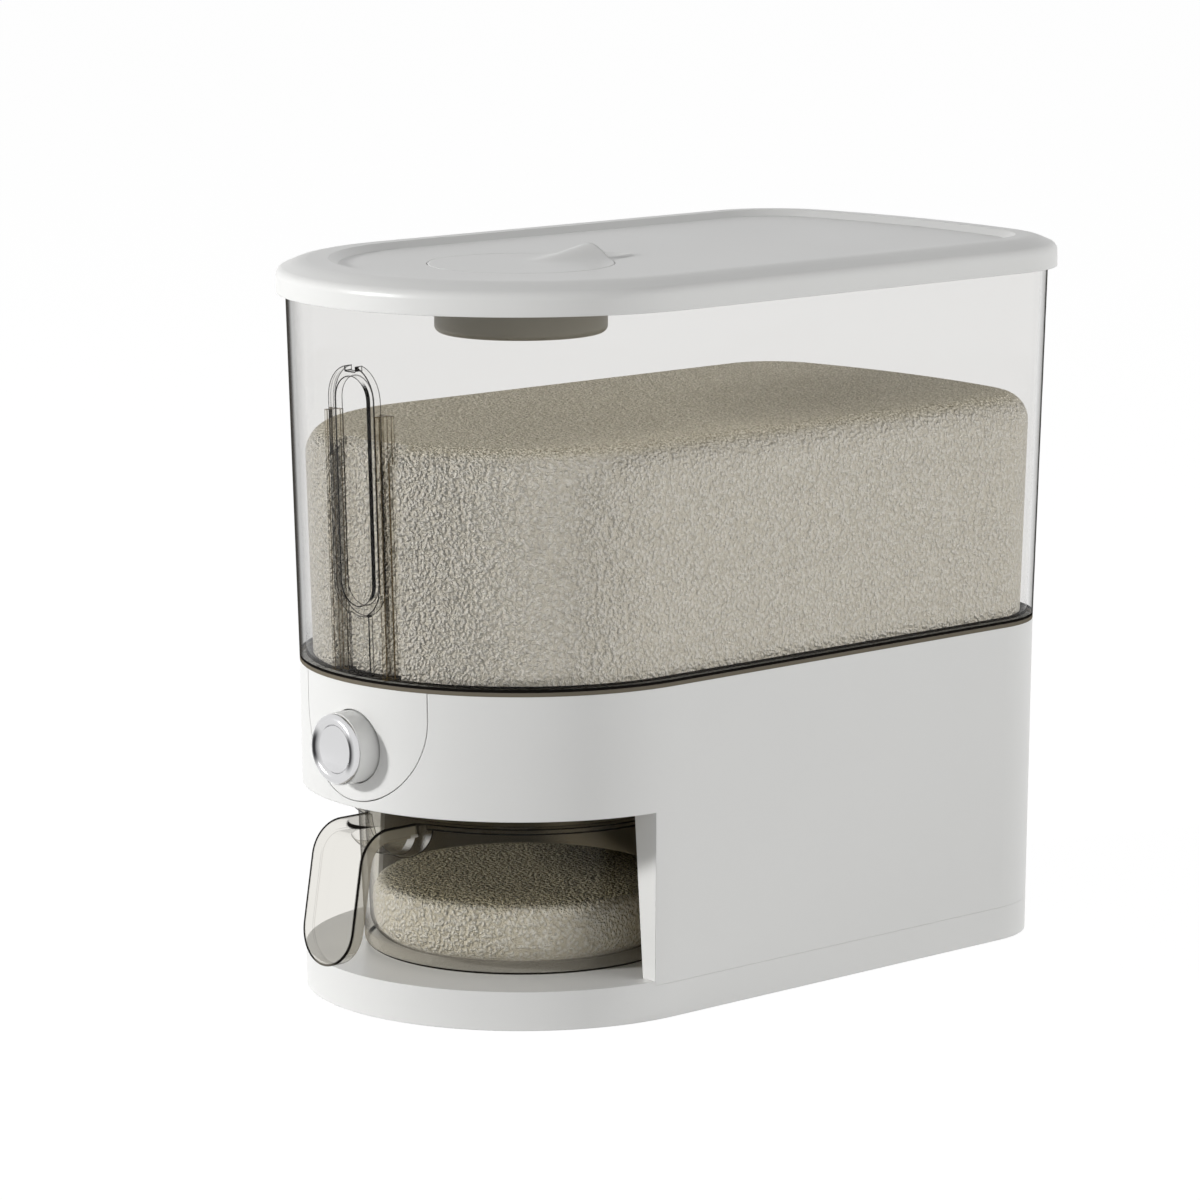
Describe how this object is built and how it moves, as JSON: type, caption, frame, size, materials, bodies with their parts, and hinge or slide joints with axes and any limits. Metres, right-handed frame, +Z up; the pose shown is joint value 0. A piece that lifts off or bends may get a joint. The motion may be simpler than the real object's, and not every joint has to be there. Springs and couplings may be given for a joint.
{
  "type": "rice dispenser",
  "caption": "Countertop rice dispenser: clear round-fronted tank with a lift-off lid, a base with a push-button gate, and a pull-out measuring cup with a handle.",
  "frame": {"origin": "under the middle of the lid outline, on the plane that the plinth rim and the feet stand on", "axes": "+Z up; -Y is the front, with the button and the cup handle; +X is on the right of a viewer who faces the front"},
  "size_m": [0.175, 0.3146, 0.2691],
  "materials": {
    "white_plastic": "smooth satin-gloss moulded plastic",
    "gate_plastic": "plain moulded plastic",
    "clear_plastic": "clear plastic with a light smoky tint",
    "canister_plastic": "smooth grey plastic",
    "seal_silicone": "soft matt silicone",
    "feet_rubber": "matt rubber",
    "screw_steel": "zinc plated",
    "spring_steel": "drawn wire",
    "disc_chrome": "satin chrome plated",
    "rice_grains": "packed white rice grains",
    "pack_paper": "fibrous sachet"
  },
  "bodies": {
    "body": {"plinth": "white_plastic", "feet": "feet_rubber", "plinth_screws": "screw_steel", "base_shell": "white_plastic", "button_panel": "white_plastic", "bay_liner": "white_plastic", "hopper": "white_plastic", "hopper_seal": "seal_silicone", "gate_frame": "white_plastic", "frame_screws": "screw_steel", "rod_guide": "white_plastic", "guide_screws": "screw_steel", "return_spring": "spring_steel", "tank": "clear_plastic", "rail_right": "clear_plastic", "rail_left": "clear_plastic", "rice_heap": "rice_grains"},
    "button": {"button_cap": "white_plastic", "button_disc": "disc_chrome", "push_rod": "gate_plastic", "rod_screw": "screw_steel", "gate_slide": "gate_plastic"},
    "drawer": {"measuring_cup": "clear_plastic"},
    "loop": {"leveller": "clear_plastic"},
    "cover": {"lid": "white_plastic", "lid_gasket": "seal_silicone", "canister": "canister_plastic", "canister_grille": "canister_plastic", "desiccant_pack": "pack_paper"},
    "stopper": {"cap": "white_plastic", "cap_gasket": "seal_silicone"}
  },
  "joints": [
    {"name": "button_press", "type": "slide", "parent": "body", "child": "button", "axis": [0, 1, 0], "range_m": [0, 0.009], "stiffness_N_per_m": 300, "springref_m": -0.003, "deforming": ["return_spring"]},
    {"name": "cup_pull", "type": "slide", "parent": "body", "child": "drawer", "axis": [0, -1, 0], "range_m": [0, 0.135]},
    {"name": "loop_lift", "type": "slide", "parent": "body", "child": "loop", "axis": [0, -0.0307, 0.9995], "range_m": [0, 0.015]},
    {"name": "lid_lift", "type": "slide", "parent": "body", "child": "cover", "axis": [0, 0, 1], "range_m": [0, 0.06]},
    {"name": "cap_lift", "type": "slide", "parent": "cover", "child": "stopper", "axis": [0, 0, 1], "range_m": [0, 0.03]}
  ]
}
